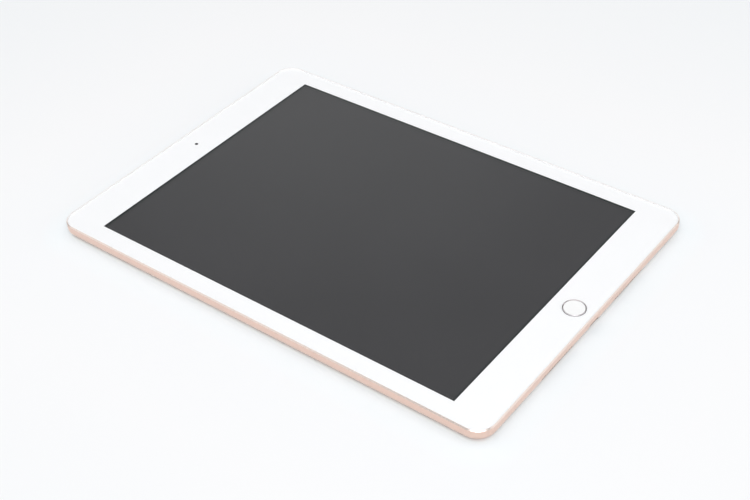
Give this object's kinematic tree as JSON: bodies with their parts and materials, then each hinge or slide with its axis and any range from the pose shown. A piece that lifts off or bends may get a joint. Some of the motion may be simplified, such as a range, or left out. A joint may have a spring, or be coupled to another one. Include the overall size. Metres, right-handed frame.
{
  "type": "tablet computer",
  "caption": "Thin tablet computer with a white-bordered glass front, a round home button, side buttons and a satin rose-coloured aluminium case with a polished edge.",
  "frame": {"origin": "middle of the flat back face, which lies on a table", "axes": "+X to the right as seen from the screen side, +Y towards the end with the front camera, +Z out of the screen"},
  "size_m": [0.1698, 0.2403, 0.0075],
  "materials": {
    "case_aluminium": "satin",
    "ring_metal": "gloss",
    "clear_glass": "gloss",
    "white_print": "gloss",
    "white_seal": "matte",
    "panel_glass": "gloss",
    "lens_glass": "gloss",
    "black_plastic": "matte",
    "optical_film": "satin",
    "led_board": "satin",
    "stamped_steel": "satin",
    "screw_steel": "gloss",
    "snap_dome": "satin",
    "flex_film": "satin",
    "adhesive": "matte",
    "sensor": "satin",
    "carrier_metal": "satin",
    "circuit_board": "satin",
    "chip_black": "matte",
    "contact_gold": "gloss",
    "magnet": "satin",
    "battery_pouch": "satin"
  },
  "bodies": {
    "tablet": {"antennas": "black_plastic", "audio_flex": "flex_film", "battery_adhesive": "adhesive", "battery_board": "circuit_board", "battery_cell_left": "battery_pouch", "battery_cell_right": "battery_pouch", "bezel_mask": "white_print", "board_chips": "chip_black", "board_screws": "screw_steel", "board_shields": "stamped_steel", "bracket_screws": "screw_steel", "button_flex": "flex_film", "cover_glass": "clear_glass", "cover_magnets": "magnet", "diffuser_sheets": "optical_film", "display_flex": "flex_film", "front_camera_lens": "lens_glass", "front_camera_module": "black_plastic", "glass_adhesive": "adhesive", "glass_gasket": "white_seal", "headphone_jack": "black_plastic", "home_bracket": "stamped_steel", "home_dome": "snap_dome", "home_flex": "flex_film", "home_gasket": "adhesive", "lcd_edge_tape": "black_plastic", "lcd_frame": "stamped_steel", "lcd_panel": "panel_glass", "lcd_screws": "screw_steel", "led_strip": "led_board", "light_guide": "optical_film", "logic_board": "circuit_board", "microphones": "black_plastic", "port_contacts": "contact_gold", "port_flex": "flex_film", "port_liner": "black_plastic", "port_shell": "stamped_steel", "power_bracket": "stamped_steel", "power_dome": "snap_dome", "rear_camera_bracket": "stamped_steel", "rear_camera_lens": "lens_glass", "rear_camera_module": "black_plastic", "rear_camera_ring": "ring_metal", "rear_housing": "case_aluminium", "reflector_sheet": "optical_film", "speaker_left": "black_plastic", "speaker_meshes": "stamped_steel", "speaker_right": "black_plastic", "touch_flex": "flex_film", "volume_bracket": "stamped_steel", "volume_down_dome": "snap_dome", "volume_up_dome": "snap_dome"},
    "home_button": {"home_button_cap": "white_print", "home_ring": "ring_metal", "home_sensor": "sensor", "home_carrier": "carrier_metal"},
    "power_button": {"power_button": "case_aluminium"},
    "volume_up_button": {"volume_up_button": "case_aluminium"},
    "volume_down_button": {"volume_down_button": "case_aluminium"}
  },
  "joints": [
    {"name": "home_button_press", "type": "slide", "parent": "tablet", "child": "home_button", "axis": [0, 0, -1], "range_m": [0, 0.00025], "stiffness_N_per_m": 6000, "deforming": ["home_dome"]},
    {"name": "power_button_press", "type": "slide", "parent": "tablet", "child": "power_button", "axis": [0, -1, 0], "range_m": [0, 0.00025], "stiffness_N_per_m": 6000, "deforming": ["power_dome"]},
    {"name": "volume_up_press", "type": "slide", "parent": "tablet", "child": "volume_up_button", "axis": [-1, 0, 0], "range_m": [0, 0.00025], "stiffness_N_per_m": 6000, "deforming": ["volume_up_dome"]},
    {"name": "volume_down_press", "type": "slide", "parent": "tablet", "child": "volume_down_button", "axis": [-1, 0, 0], "range_m": [0, 0.00025], "stiffness_N_per_m": 6000, "deforming": ["volume_down_dome"]}
  ]
}
